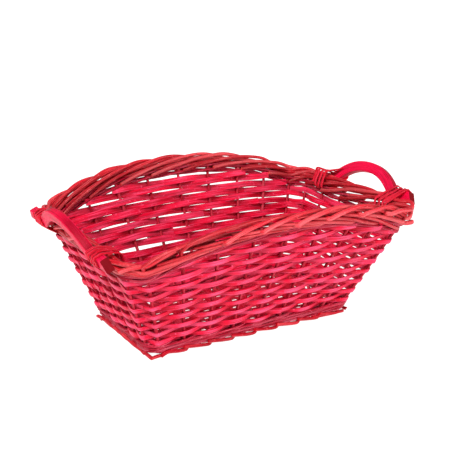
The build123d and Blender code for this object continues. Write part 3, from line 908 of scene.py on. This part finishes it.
def make_foot(side):
    weave = Weave()
    first, last = posts_of(side)[0], posts_of(side)[-1]
    along = unit(on_wall(last, GROUND) - on_wall(first, GROUND))
    level_out = np.cross(along, (0, 0, 1.0))
    left_run = FRONT_LEFT_RUN if side == "front" else CORNER_RUN
    right_run = FRONT_LEFT_RUN if side == "left" else CORNER_RUN
    for k in posts_of(side):
        places, offsets, heights = np.array(FOOT_ROUTE).T
        heights = heights + rng.normal(0, FOOT_HEIGHT_SPREAD, len(heights))
        offsets = offsets + rng.normal(0, FOOT_OUT_SPREAD, len(offsets))
        heights = np.where(places + k < first, np.minimum(heights, CORNER_HEIGHT), heights)
        inside = np.clip(places + k, first, last)
        points = on_wall(inside, heights) + np.outer(offsets, level_out)
        past = np.clip(np.minimum(places + k - first, 0) * left_run, -left_run, 0)
        points += np.outer(past, along)
        points[:, 2] = np.maximum(points[:, 2], GROUND)
        radius = FOOT_RADIUS * rng.uniform(*FOOT_RADIUS_SHARES)
        weave.rod(spline(points, 40), radius, sides=12, slant=FOOT_SLANT)
    corner = on_wall(last, GROUND) + level_out * HEEL_OUT
    heel = corner + along * right_run
    tail = on_wall(last - TAIL_BACK, TAIL_HEIGHT) + level_out * TAIL_OUT
    path = spline([heel, corner, corner * 0.5 + tail * 0.5, tail], 30)
    weave.rod(path, FOOT_RADIUS * HEEL_RADIUS_SHARE, sides=12, slant=HEEL_SLANT)
    weave.build(f"foot_{side}_look", foot_wood)


# ---- woven base ----
BASE_LEVEL = 9.0
BASE_STICKS = 6
BASE_STICK_SPACING = 20.0
BASE_STICK_LENGTH = 268.0
BASE_STICK_RADIUS = 2.4
BASE_STRIPS = 22
BASE_STRIP_PITCH = 12.0
BASE_STRIP_GAP = 0.8
BASE_STRIP_LENGTH = 114.0
BASE_STRIP_THICKNESS = 1.5
BASE_REACH = 3.5
BASE_FLATNESS = 1.5
STICK_WALK_ACROSS = (15, 0.6)
STICK_WALK_UP = (15, 0.2)
BASE_STRIP_WALK_ALONG = (30, 0.4)
BASE_STRIP_WALK_WIDTH = (20, 0.03)


def make_base():
    sticks = Weave()
    for i in range(BASE_STICKS):
        x = np.linspace(-BASE_STICK_LENGTH / 2, BASE_STICK_LENGTH / 2, 60)
        y = (i - (BASE_STICKS - 1) / 2) * BASE_STICK_SPACING
        y = y + wander(len(x), *STICK_WALK_ACROSS)
        z = BASE_LEVEL + wander(len(x), *STICK_WALK_UP)
        sticks.rod(np.stack([x, y, z], axis=1), BASE_STICK_RADIUS, sides=12)
    sticks.build("base_sticks_look", base_wood)
    weavers = Weave()
    for i in range(BASE_STRIPS):
        y = np.linspace(-BASE_STRIP_LENGTH / 2, BASE_STRIP_LENGTH / 2, 90)
        x = (i - (BASE_STRIPS - 1) / 2) * BASE_STRIP_PITCH
        x = x + wander(len(y), *BASE_STRIP_WALK_ALONG)
        wave = np.cos(pi * (y / BASE_STICK_SPACING + (BASE_STICKS - 1) / 2 + i))
        z = BASE_LEVEL + BASE_REACH * np.tanh(BASE_FLATNESS * wave) / np.tanh(BASE_FLATNESS)
        path = np.stack([x, y, z], axis=1)
        along = unit(np.gradient(path, axis=0))
        across = np.tile((1.0, 0, 0), (len(y), 1))
        out = unit(np.cross(across, along))
        width = BASE_STRIP_PITCH - BASE_STRIP_GAP
        width = width * (1 + wander(len(y), *BASE_STRIP_WALK_WIDTH))
        weavers.strip(path, across, out, width, BASE_STRIP_THICKNESS)
    weavers.build("base_weavers_look", base_wood)


# ---- handles ----
WALL_LEAN = np.arctan2((RIM_SIZE[0] - BASE_SIZE[0]) / 2, RIM_HEIGHT - WALL_FOOT)
HANDLE_THICKNESS = 10.0
HANDLE_DEPTH = 14.0
HANDLE_CORNER = 1.3     # radius of its edges
HANDLE_END_CUT = 8.0    # how far its ends lean
HANDLE_RISE = 27.0
HANDLE_SHOULDER = 59.0  # half the width of the bow
BOW_POWER = 2.3
BOW_SMOOTHING = 7.0     # samples over which the bow runs into the tabs
HANDLE_END_ROOM = 2.0   # from an end's slanted cut to the next section
HANDLE_OUT = 13.1
HANDLE_UP = 12.4
HANDLE_WEAR_AND_SHADE = 0.9
HANDLE_TONE = 0.3
HANDLE_GRAIN_SHIFT = 40


class Tie(NamedTuple):
    """How a handle is tied on; each pair is for its front and for its back part."""
    tilt: float
    lift: float
    half_lengths: tuple
    first_turns: tuple
    slants: tuple


# A tie for each end: -1 is the left one, 1 the right one.
TIES = {
    -1: Tie(0.0, 0.0, (104.0, 104.0), (61.0, 58.0), (3.0, -3.0)),
    1: Tie(radians(6.0), 2.5, (97.0, 104.0), (56.0, 45.0), (10.0, 10.0)),
}


def on_handle(end, y, rise, out):
    """Points by a handle: y along it, rise up from the border's middle, and out of the wall."""
    tie = TIES[end]
    origin = np.array((end * RIM_SIZE[0] / 2, 0, RIM_HEIGHT))
    up = np.array((end * sin(WALL_LEAN), 0, cos(WALL_LEAN)))
    away = np.array((end * cos(WALL_LEAN), 0, -sin(WALL_LEAN)))
    back = np.array((0.0, 1.0, 0.0))
    y, rise, out = np.broadcast_arrays(np.asarray(y, float), rise, out)
    level = y * cos(tie.tilt) + rise * sin(tie.tilt)
    height = rise * cos(tie.tilt) - y * sin(tie.tilt) + tie.lift
    outer = np.multiply.outer
    return origin + outer(level, back) + outer(height, up) + outer(out, away)


def bow_rise(y):
    """How far the handle's middle line stands above its tabs."""
    fine = np.linspace(-2 * HANDLE_SHOULDER, 2 * HANDLE_SHOULDER, 400)
    bow = HANDLE_RISE * np.clip(1 - np.abs(fine / HANDLE_SHOULDER) ** BOW_POWER, 0, 1)
    return np.interp(y, fine, smooth(bow, BOW_SMOOTHING))


def handle_outline():
    """Cross section with rounded edges: up the board's face, out of the wall."""
    outline = []
    turns = np.linspace(0, pi / 2, 4)
    for across, away in ((1, 1), (-1, 1), (-1, -1), (1, -1)):
        for turn in turns if across * away > 0 else turns[::-1]:
            outline.append((across * (HANDLE_DEPTH / 2 - HANDLE_CORNER * (1 - cos(turn))),
                            away * (HANDLE_THICKNESS / 2 - HANDLE_CORNER * (1 - sin(turn)))))
    return np.array(outline)


def make_handle(name, end):
    """Sawn from a board: flat tabs, a bow between them, ends cut at a slant."""
    front, back = TIES[end].half_lengths
    room = HANDLE_END_CUT + HANDLE_END_ROOM
    y = np.linspace(room - front, back - room, 140)
    y = np.concatenate([[-front], y, [back]])
    rise = HANDLE_UP + bow_rise(y)
    slope = np.gradient(rise, y)
    outline = handle_outline()
    lean = -slope / np.sqrt(1 + slope ** 2)
    upright = 1 / np.sqrt(1 + slope ** 2)
    ring_y = y[:, None] + lean[:, None] * outline[None, :, 0]
    ring_rise = rise[:, None] + upright[:, None] * outline[None, :, 0]
    for row, direction in ((0, 1), (-1, -1)):
        ring_y[row] += direction * HANDLE_END_CUT * (outline[:, 0] / HANDLE_DEPTH + 0.5)
    rings = on_handle(end, ring_y, ring_rise, outline[None, :, 1] + HANDLE_OUT)
    length = lengths_along(np.stack([y, rise], axis=1))
    # Painted shade: the board's top and bottom faces go deep where the bow is steep.
    steep = np.clip(2 * np.abs(slope), 0, 1)[:, None]
    on_edge = np.isclose(np.abs(outline[:, 0]), HANDLE_DEPTH / 2)
    wear_and_shade = np.where(on_edge[None, :], HANDLE_WEAR_AND_SHADE * (1 - steep), HANDLE_WEAR_AND_SHADE)
    weave = Weave()
    weave.loft(rings, length + HANDLE_GRAIN_SHIFT * end, lengths_along(outline), HANDLE_TONE, wear_and_shade)
    weave.build(f"{name}_look", handle_paint)


# ---- lashings ----
LASH_TURNS = 4
LASH_PITCH = 6.4
LASH_WIDTH = 4.5
LASH_THICKNESS = 0.9
LASH_CROWN = 0.7
TURN_SPREAD = 0.07      # spread of the turns' places, in turns
LASH_SPREAD = 0.2       # spread of the points of a turn
LASH_WALK_WIDTH = (30, 0.05)
SAMPLES_PER_TURN = 60
LASH_LOOP = (
    # out of the wall and up it: round the border, whose middle is at 0, 0
    (-4.5, -8.9), (3.0, -9.2), (9.5, -4.5),
    # round the handle, whose middle is at 0, 0
    (5.9, -4.5), (6.1, 0.0), (5.9, 7.2), (0.5, 8.1), (-5.2, 7.6),
    # down the inside of the border
    (-9.0, 9.0), (-10.2, 2.0), (-9.4, -4.5),
)
LASH_BORDER = (0, 1, 2, 8, 9, 10)  # which of its points go round the border
LASH_CENTRE = (HANDLE_UP * 0.5, 4.5)  # up the wall and out of it, from the border's middle


def lashed_border_lift(y):
    """How much higher the right handle's lashings go round the lifted border.  It is the lift of
    the mirrored place along the wall, so it is more at the back than in front."""
    first, last = posts_of("right")[0], posts_of("right")[-1]
    mirrored = first + (1 - y / RIM_POINTS[last, 1]) * (last - first) / 2
    return corner_lift(mirrored)


def make_lashing(name, end, side):
    """One splint wound round the border and the handle, a little unevenly; side is -1 for the
    front lashing and 1 for the back one."""
    tie = TIES[end]
    part = 0 if side < 0 else 1
    points_per_turn = len(LASH_LOOP)
    loop = np.tile(np.array(LASH_LOOP), (LASH_TURNS, 1))
    index = np.arange(len(loop))
    shifts = rng.normal(0, TURN_SPREAD, LASH_TURNS)
    turn = index / points_per_turn + np.repeat(shifts, points_per_turn)
    y = side * (tie.first_turns[part] + turn * LASH_PITCH)
    on_border = np.isin(index % points_per_turn, LASH_BORDER)
    out = np.where(on_border, loop[:, 0], loop[:, 0] + HANDLE_OUT)
    border_rise = loop[:, 1] - tie.lift + y * np.tan(tie.tilt)
    if end > 0:
        border_rise += lashed_border_lift(y) * (loop[:, 1] > 0)
    rise = np.where(on_border, border_rise, loop[:, 1] + HANDLE_UP + bow_rise(y))
    points = on_handle(end, y + tie.slants[part] * (on_border - 0.5), rise, out)
    points = points + rng.normal(0, LASH_SPREAD, points.shape)
    path = spline(points, SAMPLES_PER_TURN * LASH_TURNS)
    along = unit(np.gradient(path, axis=0))
    centre = on_handle(end, y, *LASH_CENTRE).mean(axis=0)
    out = path - centre
    out[:, 1] = 0
    out = unit(out - along * np.sum(out * along, axis=1, keepdims=True))
    across = unit(np.cross(out, along))
    width = LASH_WIDTH * (1 + wander(len(path), *LASH_WALK_WIDTH))
    weave = Weave()
    weave.strip(path, across, out, width, LASH_THICKNESS, crown=LASH_CROWN)
    weave.build(f"{name}_look", splint_wood)


for side_name in SIDE_FIRST:
    make_uprights(side_name)
    make_lower_wale(side_name)
    make_upper_wale(side_name)
    make_border(side_name)
    make_foot(side_name)
for row_number in range(ROW_COUNT):
    make_row(row_number)
make_crown_rows("front")
make_crown_rows("back")
make_base()
for end_name, end_sign in (("left", -1), ("right", 1)):
    make_handle(f"handle_{end_name}", end_sign)
    make_lashing(f"lashing_{end_name}_front", end_sign, -1)
    make_lashing(f"lashing_{end_name}_back", end_sign, 1)


# ---- floor, light and camera, in metres ----
FLOOR_REACH = 4.0
FLOOR_COLOUR = (0.3, 0.3, 0.3, 1)
FLOOR_GLOW = 0.98  # keeps the paper white, with a faint shadow
WHITE = (1, 1, 1, 1)
SKY_STRENGTH = 0.36
CAMERA_PLACE = Vector((-0.6549, -0.9888, 0.5341))
CAMERA_AZIMUTH = radians(-33.391)
CAMERA_ELEVATION = radians(19.193)
CAMERA_ROLL = radians(2.279)
SENSOR_WIDTH = 36
LENS = 79.646


def make_floor():
    mesh = bpy.data.meshes.new("floor")
    signs = ((-1, -1), (1, -1), (1, 1), (-1, 1))
    corners = [(x * FLOOR_REACH, y * FLOOR_REACH, 0) for x, y in signs]
    mesh.from_pydata(corners, [], [(0, 1, 2, 3)])
    floor = bpy.data.objects.new("floor", mesh)
    bpy.context.scene.collection.objects.link(floor)
    paper = bpy.data.materials.new("white_paper")
    paper.use_nodes = True
    shader = paper.node_tree.nodes["Principled BSDF"]
    shader.inputs["Base Color"].default_value = FLOOR_COLOUR
    shader.inputs["Roughness"].default_value = 0.9
    shader.inputs["Specular IOR Level"].default_value = 0.0
    shader.inputs["Emission Color"].default_value = WHITE
    shader.inputs["Emission Strength"].default_value = FLOOR_GLOW
    mesh.materials.append(paper)


def make_sun(name, direction, strength, spread):
    """Light that comes evenly from a direction, as soft as its spread in degrees."""
    light = bpy.data.lights.new(name, "SUN")
    light.energy = strength
    light.angle = radians(spread)
    lamp = bpy.data.objects.new(name, light)
    lamp.rotation_mode = "QUATERNION"
    lamp.rotation_quaternion = (-Vector(direction)).to_track_quat("-Z", "Y")
    bpy.context.scene.collection.objects.link(lamp)


def make_studio():
    world = bpy.data.worlds.new("studio")
    world.use_nodes = True
    background = world.node_tree.nodes["Background"]
    background.inputs["Color"].default_value = WHITE
    background.inputs["Strength"].default_value = SKY_STRENGTH
    bpy.context.scene.world = world
    bpy.context.scene.view_settings.view_transform = "Standard"
    make_sun("key", (-0.7, -0.5, 0.9), 2.8, 22)
    make_sun("fill", (0.6, -1.0, 0.15), 1.8, 25)


def make_camera():
    data = bpy.data.cameras.new("camera")
    data.sensor_width = SENSOR_WIDTH
    data.lens = LENS
    data.clip_start = 0.01
    data.clip_end = 50
    camera = bpy.data.objects.new("camera", data)
    a, e, r = CAMERA_AZIMUTH, CAMERA_ELEVATION, CAMERA_ROLL
    back = Vector((sin(a) * cos(e), -cos(a) * cos(e), sin(e)))
    level = Vector((cos(a), sin(a), 0))
    up = back.cross(level)
    right = level * cos(r) + up * sin(r)
    up = up * cos(r) - level * sin(r)
    turn = Matrix((right, up, back)).transposed()
    camera.matrix_world = Matrix.Translation(CAMERA_PLACE) @ turn.to_4x4()
    bpy.context.scene.collection.objects.link(camera)
    bpy.context.scene.camera = camera


make_floor()
make_studio()
make_camera()
